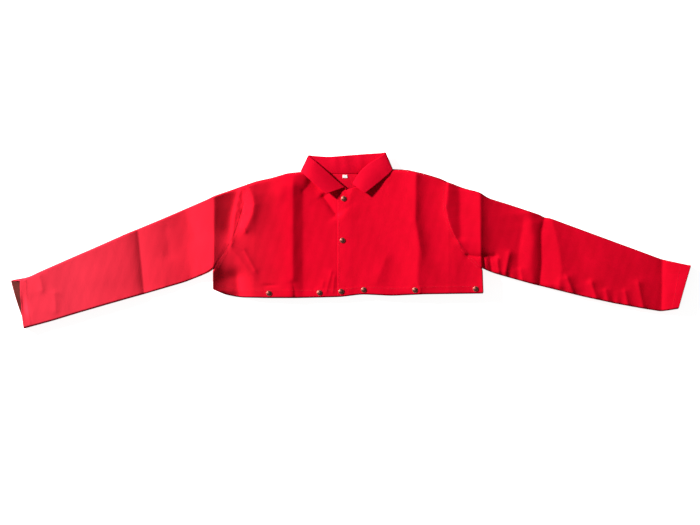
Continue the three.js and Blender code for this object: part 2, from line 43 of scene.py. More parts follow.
# Plan outlines of the cut pieces as they lie: +x is the wearer's left, +y the collar, one x, y row per point.
outline = dict(
    hem=[(-328, -115), (-300, -127), (-264, -134), (-195, -135.5), (-129, -135.5), (-24, -133), (29, -126.5),
         (100, -130), (178, -126.5), (319, -124.5)],
    shoulderRight=[(-106, 166), (-150, 161.5), (-187, 150.5), (-226, 142), (-247, 134.5)],
    shoulderLeft=[(97, 171.5), (139, 169.5), (178, 160.5), (216, 149), (233, 141)],
    neckRight=[(-3, 119), (-34, 129), (-60, 140), (-84, 152), (-106, 166)],
    neckLeft=[(-30, 100), (-27, 110), (-20, 117), (-8, 121.5), (10, 126), (35, 135), (60, 147), (80, 158),
              (97, 171.5)],
    neckBack=[(-106, 166), (-85, 162.5), (-50, 160), (0, 159), (45, 161), (76, 165.5), (97, 171.5)],
    armholeRight=[(-247, 134.5), (-253, 106), (-260, 78), (-268, 50), (-277, 22), (-289, -5), (-306, -33),
                  (-328, -69)],
    armholeLeft=[(233, 141), (231, 98), (234, 60), (243, 32), (256, 6), (272, -17), (295, -42), (317, -67)],
    # sleeves: upper edge x, y and lower edge x, y at each station from the armhole to the cuff
    sleeveRight=[(-285, 121, -332, -72.5), (-325, 107, -339, -77), (-343, 98, -355, -84), (-390, 78, -396, -100),
                 (-450, 52, -447, -115), (-509, 27.5, -493, -128.5), (-535, 17, -520, -136),
                 (-600, -12, -588, -155.5), (-667, -41, -650, -173.5), (-735, -71, -714, -193),
                 (-789, -96, -780, -211)],
    sleeveLeft=[(272, 125.5, 322, -69), (311, 115.5, 329, -72.5), (331, 101.5, 346, -79), (382, 86, 388, -91),
                (436, 68, 440, -105.5), (457, 61, 456, -109), (466, 54, 464, -111), (475, 55, 472, -113),
                (488, 50.5, 484, -116), (560, 24, 556, -134),
                (636, -4, 634, -151), (700, -27.5, 700, -163), (747, -45, 744, -170), (779, -52, 764, -167.5),
                (814, -59.5, 785, -164)],
)


def smooth(t):
    # 0 below 0, 1 above 1, and the cubic 3t^2 - 2t^3 between them
    t = np.clip(t, 0, 1)
    return t * t * (3 - 2 * t)


def unit(vectors):
    # each vector divided by its own length
    return vectors / np.maximum(np.linalg.norm(vectors, axis=-1, keepdims=True), tiny)


def walked(line):
    # distance from a line's start to each of its points
    return np.append(0, np.cumsum(np.linalg.norm(np.diff(line, axis=0), axis=1)))


def softLine(rows, step=2.0, soften=5.0, tails=3):
    # a broken line walked in equal steps, each point averaged with its neighbours under a bell curve, and carried on
    # past each end by its own mirror image, so that the ends stay where they are
    line = np.array(rows, float)
    run = walked(line) / np.sqrt(line.shape[1] / 2)
    at = np.linspace(0, run[-1], int(run[-1] / step) + 1)
    even = np.stack([np.interp(at, run, column) for column in line.T], 1)
    reach = int(tails * soften / step)
    bell = np.exp(-0.5 * (np.arange(-reach, reach + 1) * step / soften) ** 2)
    longer = np.concatenate([2 * even[0] - even[reach:0:-1], even, 2 * even[-1] - even[-2:-reach - 2:-1]])
    return np.stack([np.convolve(column, bell / bell.sum(), "valid") for column in longer.T], 1)


def distanceTo(line, x, y):
    # shortest plan distance from each point to a broken line: the least over its straight stretches
    best = np.full(np.shape(x), np.inf)
    for (ax, ay), (bx, by) in zip(line[:-1], line[1:]):
        dx, dy = bx - ax, by - ay
        share = np.clip(((x - ax) * dx + (y - ay) * dy) / (dx * dx + dy * dy), 0, 1)
        best = np.minimum(best, np.hypot(x - ax - share * dx, y - ay - share * dy))
    return best


def alongShare(line):
    # each point's share of the way along a line, 0 to 1
    return walked(line) / walked(line)[-1]


hemLine = softLine(outline["hem"], soften=8)


def hemAt(x):
    # y of the hem line at x
    return np.interp(x, hemLine[:, 0], hemLine[:, 1])


# How the upper layer lies: lift over the floor along x, and every fold, dent and gather in it.
drape = dict(
    edgeTop=2.2,  # height of the upper layer where it meets the lower one
    lift=[(-814, 19), (-650, 19), (-450, 19), (-326, 16), (-230, 17), (-140, 13), (0, 17), (150, 20.5), (235, 24),
          (330, 20), (480, 17), (700, 16.5), (747, 16), (814, 29)],
    bodyRise=1.6, sideRise=0.05,  # how far in from a sewn edge the cloth takes to rise
    roundOver=4.5, roundShare=0.5,  # width of a sleeve's round folded edge, and the share of height left at it
    roundFrom=16,  # distance from the armhole over which that share comes in
    edgeThin=5,  # distances are measured from one edge point in so many
    # folds: x, y of each point of the line from its top end, then rise, reach on the -x side, reach on the +x side,
    # rounding over the line, fade past its ends
    folds=[
        ((-509, 34, -493, -127), -6, 13, 30, 1.2, 12),  # pressed valley across the right forearm
        ((-392, 84, -384, -100), -12, 66, 40, 22, 30),  # soft hollow of the right upper arm
        ((-325, 112, -325, -52, -330, -76, -330, -120), 15, 44, 32, 1.2, 10),  # pressed crest, right side
        ((-270, 118, -284, 60, -287, 30), -10, 26, 17, 8, 28),  # hollow beside it, deep above and below
        ((-271, -92, -267, -128), -14, 28, 16, 8, 24),
        ((-330, -78, -330, -122), 1.6, 3, 24, 1.2, 34),  # the side seam's corner stands up
        ((-262, 120, -270, 92, -277, 50, -282, 4), 4, 10, 7, 2, 24),  # creases beside the right armhole
        ((-258, 108, -257, 75, -262, 46), -4.5, 10, 8, 2.5, 14),
        ((-244, 126, -233, 104, -230, 86, -234, 64, -241, 46, -246, 36), 9, 11, 16, 5, 19),
        ((-262, 94, -250, 68), 2, 5, 4, 1, 6), ((-267, 72, -253, 44), 2, 5, 4, 1, 6),
        ((-263, 46, -250, 22), 2, 5, 4, 1, 6),
        ((-272, -34, -240, -76), 3, 12, 14, 3, 24),  # creases below the armhole
        ((-284, -8, -254, -22, -228, -70), 2, 5, 6, 1.2, 10),
        ((-394, 66, -370, 10), -1.8, 16, 12, 5, 18),  # small hollows of the upper arm
        ((-440, 24, -434, -34), -1.6, 18, 12, 6, 14),
        ((-138, 128, -138, -128), 10, 38, 22, 5, 24),  # pressed crest down the right front
        ((-112, 104, -112, -116), -2.6, 15, 30, 4, 20),  # hollow beside it
        ((-136, -104, -131, -136), -2.5, 8, 7, 2.5, 8),  # hollow at its foot
        ((-94, 138, -112, 118), -1.4, 6, 8, 2, 6),  # hollow by the collar
        ((-62, 104, -34, 63), -6.2, 8.5, 19, 2, 8),  # fold from the right collar point
        ((-9, 124, -33, 130, -60, 141, -88, 155), -4.5, 12, 12, 6, 10),  # the neck edge sinks under the collar
        ((157, 166, 155, 47, 164, -4), 5.5, 38, 17, 5, 45),  # pressed crest down the left front
        ((157, 166, 155, 47, 164, -4, 161, -122), 3.6, 38, 17, 5, 10),
        ((163, -60, 161, -122), 4, 38, 60, 6, 36),  # its foot stands higher
        ((-45, -78, -56, -120), 1.5, 8, 5, 1.2, 8),  # puckers above the middle of the hem
        ((-37, -88, -41, -122), 1.1, 5, 4, 1, 6), ((-64, -100, -68, -122), 0.9, 6, 5, 1.5, 6),
        ((84, -47, 67, -92), 2, 14, 12, 4, 20),  # swells over the left hem
        ((250, -50, 254, -118), 1.2, 24, 14, 6, 26),
        ((235, 131, 233, 107, 230, 80, 235, 52, 247, 20, 258, -2), 4.5, 9, 24, 1.2, 18),  # left armhole
        ((262, 128, 264, 10), -5, 18, 26, 4, 14),  # hollow between the left armhole and the sleeve head
        ((311, 118, 312, -30, 315, -60, 317, -122), 9, 34, 19, 1.2, 9),  # pressed crest at the left sleeve head
        ((284, -36, 304, -39, 331, -37, 345, -38), -4.4, 5, 6, 1.2, 8),  # pinch under the left arm
        ((319, -44, 320, -66), -4, 4, 4, 1, 4),  # dimple below it
        ((412, 34, 404, -20, 402, -50, 408, -106), -5, 40, 26, 2.5, 26),  # hollow and swell, left forearm
        ((430, 64, 438, 0, 434, -60, 438, -108), 6, 34, 30, 7, 14),
        ((466, 58, 458, 20, 459, -55, 454, -112), -8, 17, 38, 1, 8),  # sharp valley beside it
        ((484, 48, 499, -13, 506, -66, 500, -106), 7, 40, 44, 3, 14),  # broad swell past it
        ((748, -44, 745, -172), -3.5, 24, 10, 1.2, 14),  # the turned-up flap of the left cuff
        ((335, -46, 339, -78), -3, 9, 7, 1.2, 6),  # hollow by the left underarm
        ((380, -34, 372, -74), 4.5, 12, 9, 2.5, 10),  # puckers up from the left sleeve's lower edge
        ((352, -46, 356, -74), 2.6, 8, 6, 1.5, 6), ((408, -72, 411, -94), 3, 10, 8, 2, 8),
        ((520, -92, 532, -122), 4, 12, 9, 2, 10), ((578, -104, 588, -136), 4, 12, 9, 2, 10),
        ((612, -122, 616, -146), 2.6, 10, 8, 2, 8), ((658, -124, 664, -152), 2.6, 10, 8, 2, 8),
        ((690, -106, 700, -156), 3.6, 14, 9, 2, 12),
        ((-742, -88, -736, -116), 2, 16, 8, 2, 10),  # puckers by the right cuff
        ((-706, -128, -704, -166), 1.8, 18, 9, 2, 10),
    ],
    # dents and swells: middle x, y, rise, half width, half height, turn in degrees
    dents=[
        (-165, 115, 2.5, 18, 22, 0), (-80, 138, -8, 32, 25, -25),
        (-428, -30, -2, 32, 26, -12), (-600, -90, 1.2, 50, 30, 0), (-782, -156, -8, 9, 22, 12),
        (-192, -108, -1.6, 16, 4, 0), (-298, -88, -5.5, 29, 56, 0),
        (60, 20, 1.5, 50, 60, 0), (110, -60, -1.5, 30, 40, 0),
        (590, -70, 1.5, 46, 40, -20), (200, -80, 1.5, 30, 40, 10),
    ],
    # gathers along a sleeve's lower edge: side, first x, last x, pitch, rise, reach in from the edge
    gathers=[("Left", 340, 735, 33, 0.8, 14), ("Right", -470, -335, 30, 0.6, 12), ("Right", -700, -520, 46, 0.4, 14)],
    gatherWander=[(0.35, 0.61), (0.3, 1.7)],  # their sideways shift and its wave length, in pitches
    # soft unevenness all over: wave length across x, along y, rise
    waves=[(150, 240, 1.0), (60, 80, 0.16)],
    waveCount=8, waveSeed=7,
)


def foldHeight(x, y, fold):
    # rise, times a falling exponential of the distance to each side of the nearest stretch of the line, rounded over
    # the line itself, times a bell curve of the distance past either end
    line, rise, before, after, rounding, fade = fold
    points = np.reshape(line, (-1, 2))
    nearest, across, past = np.full(x.shape, np.inf), np.zeros(x.shape), np.zeros(x.shape)
    last = len(points) - 2
    for k, ((ax, ay), (bx, by)) in enumerate(zip(points[:-1], points[1:])):
        length = np.hypot(bx - ax, by - ay)
        ux, uy = (bx - ax) / length, (by - ay) / length
        along = (x - ax) * ux + (y - ay) * uy
        side = (y - ay) * ux - (x - ax) * uy
        gap = np.hypot(side, along - np.clip(along, 0, length))
        over = np.maximum(-along if k == 0 else 0, along - length if k == last else 0)
        take = gap < nearest
        nearest = np.where(take, gap, nearest)
        across = np.where(take, np.where(over > 0, side, np.sign(side) * gap), across)
        past = np.where(take, np.maximum(0, over), past)
    away = np.sqrt(across**2 + rounding**2) - rounding
    return rise * np.exp(-away / np.where(across < 0, before, after) - (past / fade) ** 2)


def dentHeight(x, y, dent):
    # a bell-shaped swell or hollow, turned in plan
    midX, midY, rise, halfWidth, halfHeight, turn = dent
    c, s = np.cos(np.radians(turn)), np.sin(np.radians(turn))
    across, up = (x - midX) * c + (y - midY) * s, (y - midY) * c - (x - midX) * s
    return rise * np.exp(-(across / halfWidth) ** 2 - (up / halfHeight) ** 2)


def gatherHeight(x, edgeGap, gather):
    # a sine of uneven pitch along x, strongest by the edge and dying away from it
    first, last, pitch, rise, reach = gather
    wander = sum(shift * pitch * np.sin(x / (wave * pitch)) for shift, wave in drape["gatherWander"])
    window = smooth((x - first) / pitch) * smooth((last - x) / pitch)
    return rise * window * np.sin(fullTurn * (x + wander) / pitch) * np.exp(-edgeGap / reach)


def softWaves(x, y):
    # sum of seeded plane waves, a set number to each length, so the cloth is nowhere quite level
    draw, count = np.random.default_rng(drape["waveSeed"]), drape["waveCount"]
    total = np.zeros(np.shape(x))
    for across, up, rise in drape["waves"]:
        for kx, ky, phase in zip(*draw.normal(size=(2, count)), draw.uniform(0, fullTurn, count)):
            total += rise / np.sqrt(count) * np.sin(fullTurn * (kx * x / across + ky * y / up) + phase)
    return total


def edgeLine(rows):
    # a softened line thinned out, close enough to measure distances from
    return softLine(rows)[::drape["edgeThin"]]


def sleeveEdge(side, part):
    # the upper or lower edge line of a sleeve, from the body to the cuff
    first, columns = (0, slice(0, 2)) if part == "upper" else (-1, slice(2, 4))
    return edgeLine([outline["armhole" + side][first]] + [row[columns] for row in outline["sleeve" + side]])


sideHem = dict(Right=outline["hem"][0], Left=outline["hem"][-1])  # where each side seam meets the hem
armholeLines = {side: edgeLine(outline["armhole" + side]) for side in sideHem}
lowerEdges = {side: sleeveEdge(side, "lower") for side in sideHem}
sewnEdges = []  # (line, how far the cloth takes to rise from it)
foldedEdges = []
for sideName, hemCorner in sideHem.items():
    sewnEdges.append((edgeLine(outline["shoulder" + sideName]), drape["bodyRise"]))
    sewnEdges.append((np.array([outline["armhole" + sideName][-1], hemCorner], float), drape["sideRise"]))
    foldedEdges += [sleeveEdge(sideName, "upper"), lowerEdges[sideName]]


def looseHeight(x, y):
    # edge height, plus lift, folds, dents and gathers scaled down towards every sewn edge, where the cloth comes down
    # to the floor, and rounded over by a quarter ellipse at the folded edges of the sleeves
    x, y = np.asarray(x, float), np.asarray(y, float)
    climb = np.ones(x.shape)
    for line, rise in sewnEdges:
        climb = np.minimum(climb, 1 - np.exp(-distanceTo(line, x, y) / rise))
    for line in foldedEdges:
        short = 1 - np.clip(distanceTo(line, x, y) / drape["roundOver"], 0, 1)
        left = drape["roundShare"] * smooth(np.hypot(x - line[0, 0], y - line[0, 1]) / drape["roundFrom"])
        climb = np.minimum(climb, left + (1 - left) * np.sqrt(1 - short**2))
    height = np.interp(x, *np.array(drape["lift"]).T) + softWaves(x, y)
    for fold in drape["folds"]:
        height = height + foldHeight(x, y, fold)
    for dent in drape["dents"]:
        height = height + dentHeight(x, y, dent)
    for side, *gather in drape["gathers"]:
        height = height + gatherHeight(x, distanceTo(lowerEdges[side], x, y), gather)
    return drape["edgeTop"] + climb * height


# Snaps: plan places, the pressed seat round each, and the turned profile (radius, height over the cloth).
snapSet = dict(
    front=dict(top=(-15, 100), middle=(-18, 0), bottom=(-21, -122)),
    hem=dict(right_outer=-194, right_inner=-73, left_inner=33, left_middle=155, left_outer=300),
    hemUp=9, seat=8.5, seatFade=9, sides=48,
    profile=[(0.3, 3.2), (1.4, 3.17), (2.7, 2.96), (3.9, 2.58), (4.65, 2.22), (4.9, 1.98), (5.15, 1.92), (5.55, 1.96),
             (6.0, 1.72), (6.3, 1.33), (6.4, 0.95), (6.25, 0.5), (5.9, 0.3), (2.2, 0.3)],
    layerThick=1.5, backRadius=6, backThick=1.5, postRadius=2.2,
    lapShare=0.9,  # of the lap's rise, what lies under a front snap
    worn=[(0, 0.75), (2, 0.5), (5, 0.1), (7, 0.95), (10, 0.6), (12, 0.2)],  # how rubbed each ring of the profile is
    wornBelow=0.3,
)
snapPlaces = {"front_snap_" + name: place for name, place in snapSet["front"].items()}
for name, snapX in snapSet["hem"].items():
    snapPlaces["hem_snap_" + name] = (snapX, float(hemAt(snapX)) + snapSet["hemUp"])


def seatPlane(place):
    # mean height and slopes of the loose cloth at the four corners of a snap's seat
    half = snapSet["seat"]
    cornerX, cornerY = half * np.array([-1, 1, 1, -1]), half * np.array([-1, -1, 1, 1])
    z = looseHeight(place[0] + cornerX, place[1] + cornerY)
    return z.mean(), (z * cornerX).sum() / (4 * half**2), (z * cornerY).sum() / (4 * half**2)


snapSeats = {name: seatPlane(place) for name, place in snapPlaces.items()}


def topHeight(x, y):
    # the loose height, pressed to a plane under each snap and blended out round it
    z = looseHeight(x, y)
    for name, (level, slopeX, slopeY) in snapSeats.items():
        dx, dy = x - snapPlaces[name][0], y - snapPlaces[name][1]
        plane = level + slopeX * dx + slopeY * dy
        z = plane + (z - plane) * smooth((np.hypot(dx, dy) - snapSet["seat"]) / snapSet["seatFade"])
    return z


def gridNormals(points, up):
    # cross product of the two grid directions, made unit, turned to the side that up gives
    return up * unit(np.cross(np.gradient(points, axis=1), np.gradient(points, axis=0)))


def arcUv(points):
    # cloth coordinates in millimetres: distance walked across each row and up the middle column
    half = points.shape[1] // 2
    across = np.cumsum(np.linalg.norm(np.diff(points, axis=1, prepend=points[:, :1]), axis=2), axis=1)
    across = across - across[:, half:half + 1]
    return np.stack([across, np.broadcast_to(walked(points[:, half])[:, None], across.shape)], 2)


def addObject(name, data):
    # an object for this data, linked into the scene
    thing = bpy.data.objects.new(name, data)
    bpy.context.scene.collection.objects.link(thing)
    return thing


def putMesh(name, points, faces, materials, uv=None, slots=None, flatFrom=None):
    # one smooth mesh in metres, turned outwards if its signed volume is negative; its plan stands in for missing cloth
    # coordinates; faces from flatFrom on, the rims, are shaded flat so that a cut edge stays crisp
    uv = points[faces][..., :2] if uv is None else uv
    a, b, c, d = (points[faces[:, k]] for k in range(4))
    volume = (np.cross(b - a, c - a) * a).sum() + (np.cross(c - a, d - a) * a).sum()
    if volume < 0:
        faces, uv = faces[:, ::-1], uv[:, ::-1]
    mesh = bpy.data.meshes.new(name)
    mesh.from_pydata((points * mm).tolist(), [], faces.tolist())
    mesh.uv_layers.new(name="clothUv").data.foreach_set("uv", (uv * mm).astype(np.float32).ravel())
    for material in materials:
        mesh.materials.append(material)
    if slots is not None:
        mesh.polygons.foreach_set("material_index", slots.astype(np.int32))
    mesh.polygons.foreach_set("use_smooth", np.arange(len(faces)) < (flatFrom or len(faces)))
    mesh.update()
    print("made", name, "with", len(faces), "faces")
    return addObject(name, mesh)


rimOut = 0.42  # how far the middle line of a cut edge stands out, in thicknesses


def closedSheet(node, outer, inner, uv, materials, ending="_cloth", wrap=False, bandRows=0):
    # an outer and an inner grid of points, joined by a rim along each edge that only one quad has; wrap closes the grid
    # round its columns; the inner face takes the second material, if any, and its last bandRows rows the third
    rows, cols = outer.shape[:2]
    size = rows * cols
    r, c = np.mgrid[0:rows - 1, 0:cols if wrap else cols - 1]
    cornerRow = np.stack([r, r, r + 1, r + 1], -1).reshape(-1, 4)
    cornerCol = np.stack([c, c + 1, c + 1, c], -1).reshape(-1, 4)
    index, quadUv = cornerRow * cols + cornerCol % cols, uv[cornerRow, cornerCol]
    edge, following = index.ravel(), np.roll(index, -1, 1).ravel()
    free = ~np.isin(edge * size + following, following * size + edge)
    edge, following = edge[free], following[free]
    here, there = quadUv.reshape(-1, 2)[free], np.roll(quadUv, -1, 1).reshape(-1, 2)[free]
    row, col = np.divmod(edge, cols)
    top, low = outer[row, col], inner[row, col]
    near = outer[np.clip(row, 1, rows - 2), col if wrap else np.clip(col, 1, cols - 2)]
    thick = np.linalg.norm(top - low, axis=1, keepdims=True)
    middle = (top + low) / 2 + unit(top - near) * thick * rimOut
    rimAt = np.zeros(size, int)
    rimAt[edge] = 2 * size + np.arange(len(edge))
    rim, rimNext = rimAt[edge], rimAt[following]
    faces = [index, index[:, ::-1] + size, np.stack([edge, rim, rimNext, following], 1),
             np.stack([rim, edge + size, following + size, rimNext], 1)]
    uvs = [quadUv, quadUv[:, ::-1]] + [np.stack([here, here, there, there], 1)] * 2
    innerSlots = min(1, len(materials) - 1) + (r.ravel() >= rows - 1 - bandRows)
    slots = np.concatenate([0 * innerSlots, innerSlots, 0 * edge, 0 * edge])
    points = np.concatenate([outer.reshape(-1, 3), inner.reshape(-1, 3), middle])
    pieces[node] = putMesh(node + ending, points, np.concatenate(faces), materials, np.concatenate(uvs), slots,
                           2 * len(index))


def hexLinear(code):
    # sRGB hex to linear colour with full alpha
    part = np.array([int(code[k:k + 2], 16) for k in (1, 3, 5)]) / 255
    return (*np.where(part <= 0.04045, part / 12.92, ((part + 0.055) / 1.055) ** 2.4), 1.0)


def setInputs(node, inputs):
    # each input takes a fixed value, or a link from another node's output
    for key, value in inputs.items():
        if isinstance(value, bpy.types.NodeSocket):
            node.id_data.links.new(value, node.inputs[key])
        else:
            node.inputs[key].default_value = value


def addNode(tree, kind, inputs, out=0, **settings):
    # one node with its own settings and inputs; what comes back is the output that is used
    node = tree.nodes.new("ShaderNode" + kind)
    for key, value in settings.items():
        setattr(node, key, value)
    setInputs(node, inputs)
    return node.outputs[out]


def newMaterial(name):
    # an empty material, addNode for its tree, and its shader
    material = bpy.data.materials.new(name)
    material.use_nodes = True
    return material, partial(addNode, material.node_tree), material.node_tree.nodes["Principled BSDF"]


def mixColour(add, share, first, second):
    # the first colour at share 0, the second at share 1
    return add("Mix", {"Factor": share, 6: first, 7: second}, 2, data_type="RGBA")


waveRate = 20  # a Wave texture at scale 1 has this many radians to each unit


def bandScale(pitch):
    # Wave texture scale for straight bands this many millimetres apart, on coordinates in millimetres
    return fullTurn / waveRate / pitch


# Cotton sateen, piece-dyed red and proofed: a matt, saturated red with a faint diagonal rib and soft thread slubs.
# The real rib is 0.7 mm apart; it is drawn at 1.3 mm so that it still shows close to.
redFinish = dict(
    twillPitch=1.3, twillTurn=63, twillWander=0.6, slubWidth=1.6, slubLength=26, slubTint=0.45, slubRise=0.8,
    mottleSize=38, mottleRough=0.6, tintFrom=0.45, tintTo=1.0, weaveStrength=0.35, weaveRise=0.25,
    crumpleSize=14, crumpleStrength=0.5, crumpleRise=0.25, rough=0.8, roughSpread=0.07,
    specular=0.06, sheen=0.03, sheenRough=0.5,
)


def clothMaterial(name, dark, light, **changes):
    # woven cotton: bands of twill, thread slubs along the warp and broad dye mottling tint it and raise it; where
    # asked, painted light turns it paler along x
    finish = dict(redFinish, **changes)
    material, add, shader = newMaterial(name)
    cloth = add("UVMap", {}, uv_map="clothUv")
    inMm = add("Mapping", {"Vector": cloth, "Scale": (1 / mm, 1 / mm, 1 / mm)})
    turned = add("Mapping", {"Vector": inMm, "Rotation": (0, 0, np.radians(finish["twillTurn"]))})
    twill = add("TexWave", {"Vector": turned, "Scale": bandScale(finish["twillPitch"]),
                            "Distortion": finish["twillWander"], "Detail": 1.0}, bands_direction="X")
    drawn = add("Mapping", {
        "Vector": inMm, "Scale": (1 / finish["slubWidth"], 1 / finish["slubLength"], 1)})
    slub = add("TexNoise", {"Vector": drawn, "Scale": 1.0, "Detail": 3.0})
    mottle = add("TexNoise", {
        "Vector": inMm, "Scale": 1 / finish["mottleSize"], "Detail": 4.0, "Roughness": finish["mottleRough"]})
    blend = add("Math", {0: slub, 1: finish["slubTint"], 2: mottle}, operation="MULTIPLY_ADD")
    tint = add("MapRange", {"Value": blend, "From Min": finish["tintFrom"], "From Max": finish["tintTo"]})
    colour = mixColour(add, tint, hexLinear(dark), hexLinear(light))
    # painted light: towards -x, the right cuff, the colour is mixed paler and pinker, as where the lamp falls strongest
    if "paleHex" in finish:
        axes = add("SeparateXYZ", {0: add("TexCoord", {}, "Object")})
        pale = add("MapRange", {
            "Value": axes, "From Min": finish["paleFrom"] * mm, "From Max": finish["paleTo"] * mm})
        colour = mixColour(add, pale, colour, hexLinear(finish["paleHex"]))
    grain = add("Math", {0: slub, 1: finish["slubRise"], 2: twill}, operation="MULTIPLY_ADD")
    weave = add("Bump", {
        "Height": grain, "Strength": finish["weaveStrength"], "Distance": finish["weaveRise"] * mm})
    crumple = add("TexNoise", {"Vector": inMm, "Scale": 1 / finish["crumpleSize"], "Detail": 2.0})
    crumpled = add("Bump", {"Height": crumple, "Strength": finish["crumpleStrength"],
                            "Distance": finish["crumpleRise"] * mm, "Normal": weave})
    rough = add("MapRange", {"Value": slub, "To Min": finish["rough"] - finish["roughSpread"],
                             "To Max": finish["rough"] + finish["roughSpread"]})
    setInputs(shader, {"Base Color": colour, "Roughness": rough, "Normal": crumpled,
                       "Specular IOR Level": finish["specular"], "Sheen Weight": finish["sheen"],
                       "Sheen Roughness": finish["sheenRough"], "Sheen Tint": hexLinear(light)})
    return material


# Towards the right cuff the cloth is painted a shade paler and pinker: painted light, standing in for the strong lamp
# on that side washing the red out.
redCotton = clothMaterial("dyedRedCottonSateen", "#D90020", "#EA0027", paleHex="#E63144", paleFrom=-150, paleTo=-660)
# The same cloth's reverse, where the dye sits less evenly and the weave is duller.
reverseCotton = clothMaterial("cottonSateenReverse", "#D60426", "#E6082C", rough=0.88, sheen=0.06)
# Collar cloth: two layers with a stiffener between, pressed flatter, so a little smoother and more even.
collarCotton = clothMaterial("pressedCollarCotton", "#DA0024", "#EA002A", crumpleRise=0.15, rough=0.74)
# Overlocked turn-up inside the cuffs: raw edge and thread, brownish red and fuzzy.
overlockCotton = clothMaterial("overlockedCottonEdge", "#5E2723", "#7C3631", specular=0.05, sheen=0.2)
# Polyester sewing thread in the cloth's own red, twisted and slightly shiny.
redThread = clothMaterial("redPolyesterThread", "#D3062A", "#EE1236", twillPitch=0.5, slubWidth=0.3, slubLength=2,
                          weaveStrength=0.6, crumpleSize=2, crumpleRise=0.05, rough=0.5, specular=0.3)
# Woven satin tape, white and close, with a low sheen across the weft.
whiteTape = clothMaterial("whiteSatinTape", "#E9E6E2", "#FAF9F7", twillPitch=0.6, slubWidth=0.5, slubLength=7,
                          crumpleRise=0.1, rough=0.55, specular=0.35, sheen=0.2)

# Antique brass caps, pressed and given a chemical brown finish: dark brown metal, tinted red as a painted reflection of
# the red cloth round them, rubbed back to warm brass on the raised edges, with fine tumbling marks.
brassFinish = dict(brownedAndRedReflection="#82362D", rubbed="#D2A292", rubFrom=0.15, rubTo=0.6, speckSize=1.1, smoothest=0.36,
                   roughest=0.52, markStrength=0.25, markDepth=0.05)


def brassMaterial():
    # fine noise, more of it showing where the worn attribute is higher, mixes the two colours and roughens the metal
    finish = brassFinish
    material, add, shader = newMaterial("antiqueBrassCap")
    place = add("TexCoord", {}, "Object")
    worn = add("Attribute", {}, "Fac", attribute_name="worn")
    speck = add("TexNoise", {"Vector": place, "Scale": 1 / (finish["speckSize"] * mm), "Detail": 4.0})
    share = add("Math", {0: worn, 1: speck}, operation="MULTIPLY")
    rubbed = add("MapRange", {"Value": share, "From Min": finish["rubFrom"], "From Max": finish["rubTo"]})
    rough = add("MapRange", {"Value": speck, "To Min": finish["smoothest"], "To Max": finish["roughest"]})
    marks = add("Bump", {
        "Height": speck, "Strength": finish["markStrength"], "Distance": finish["markDepth"] * mm})
    # the dark colour is tinted red: a painted reflection of the red cloth round the cap
    colour = mixColour(add, rubbed, hexLinear(finish["brownedAndRedReflection"]), hexLinear(finish["rubbed"]))
    setInputs(shader, {"Base Color": colour, "Roughness": rough, "Normal": marks, "Metallic": 1.0})
    return material


snapBrass = brassMaterial()
print("materials made")

pieces = {}
clothThick = 0.6

# Fronts: the wearer's left lies over the right at the middle.
frontBoth = dict(
    rows=150, seamFade=8, lapEdge=0.06, lapIn=20, lapFade=25, underDrop=0.6, underLead=2, underIn=8,
    thinEdge=0.12, thinIn=12, hemBand=18, hemStep=0.35, hemSoft=1, hemThick=0.25,
    facing=36, facingStep=0.15, facingSoft=4, thickSoft=3,
    lastColumn=0.9994,  # share of the way out, so that the side drops almost upright
)
frontCut = dict(
    Right=dict(frontBoth, node="front_panel_right", centreX=-3, creaseX=-138, lap=0, seamSink=0.42, facingThick=0.1,
               columns=164),
    Left=dict(frontBoth, node="front_panel_left", centreX=-30, creaseX=155, lap=0.7, seamSink=0.3, facingThick=0.2,
              columns=176),
)


def topLine(side, neck):
    # the neck edge and then the shoulder, softened apart so that the corner between them stays
    line = np.concatenate([softLine(outline[neck]), softLine(outline["shoulder" + side])[1:]])
    return line[np.argsort(line[:, 0])]


def bodyPlan(side, neck, centreX, creaseX, hemDrop, u, v):
    # plan points of a body panel: u runs from the centre edge past the crease to the side, v from hem to top; each
    # column is straight from hem to top and leans sideways by its share of the armhole's own curve
    sideLine = softLine([sideHem[side]] + outline["armhole" + side][::-1])
    share = alongShare(sideLine)
    sideX, sideY = np.interp(v, share, sideLine[:, 0]), np.interp(v, share, sideLine[:, 1])

    def spread(far):
        # x from the centre edge to the crease over the first half of u, and on to far over the second
        return np.where(u <= 0.5, centreX + (creaseX - centreX) * u / 0.5, creaseX + (far - creaseX) * (u - 0.5) / 0.5)

    low = hemAt(spread(sideLine[0, 0])) - hemDrop
    high = np.interp(spread(sideLine[-1, 0]), *topLine(side, neck).T)
    straight = sideLine[0, 1] + (sideLine[-1, 1] - sideLine[0, 1]) * v
    return spread(sideX), low + (high - low) * v + u * (sideY - straight)


def frontHeight(side, x, y):
    # the upper layer's height, raised over the turned-in hem and facing and sunk into the armhole seam; the lapping
    # front rises from a thin edge, and the other dips under it
    cut, edgeX, middleX = frontCut[side], frontCut["Left"]["centreX"], frontCut["Right"]["centreX"]
    z = topHeight(x, y) - cut["seamSink"] * smooth(1 - distanceTo(armholeLines[side], x, y) / cut["seamFade"])
    if cut["lap"]:
        lap = cut["lapEdge"] + cut["lap"] * smooth((x - edgeX) / cut["lapIn"])
        z = z + lap * np.clip(1 - (x - middleX) / cut["lapFade"], 0, 1)
    else:
        z = z - cut["underDrop"] * smooth((x - edgeX + cut["underLead"]) / cut["underIn"])
    z = z + cut["hemStep"] * smooth((cut["hemBand"] + cut["hemSoft"] - (y - hemAt(x))) / (2 * cut["hemSoft"]))
    inFacing = cut["facing"] + cut["facingSoft"] - np.abs(x - cut["centreX"])
    return z + cut["facingStep"] * smooth(inFacing / (2 * cut["facingSoft"]))


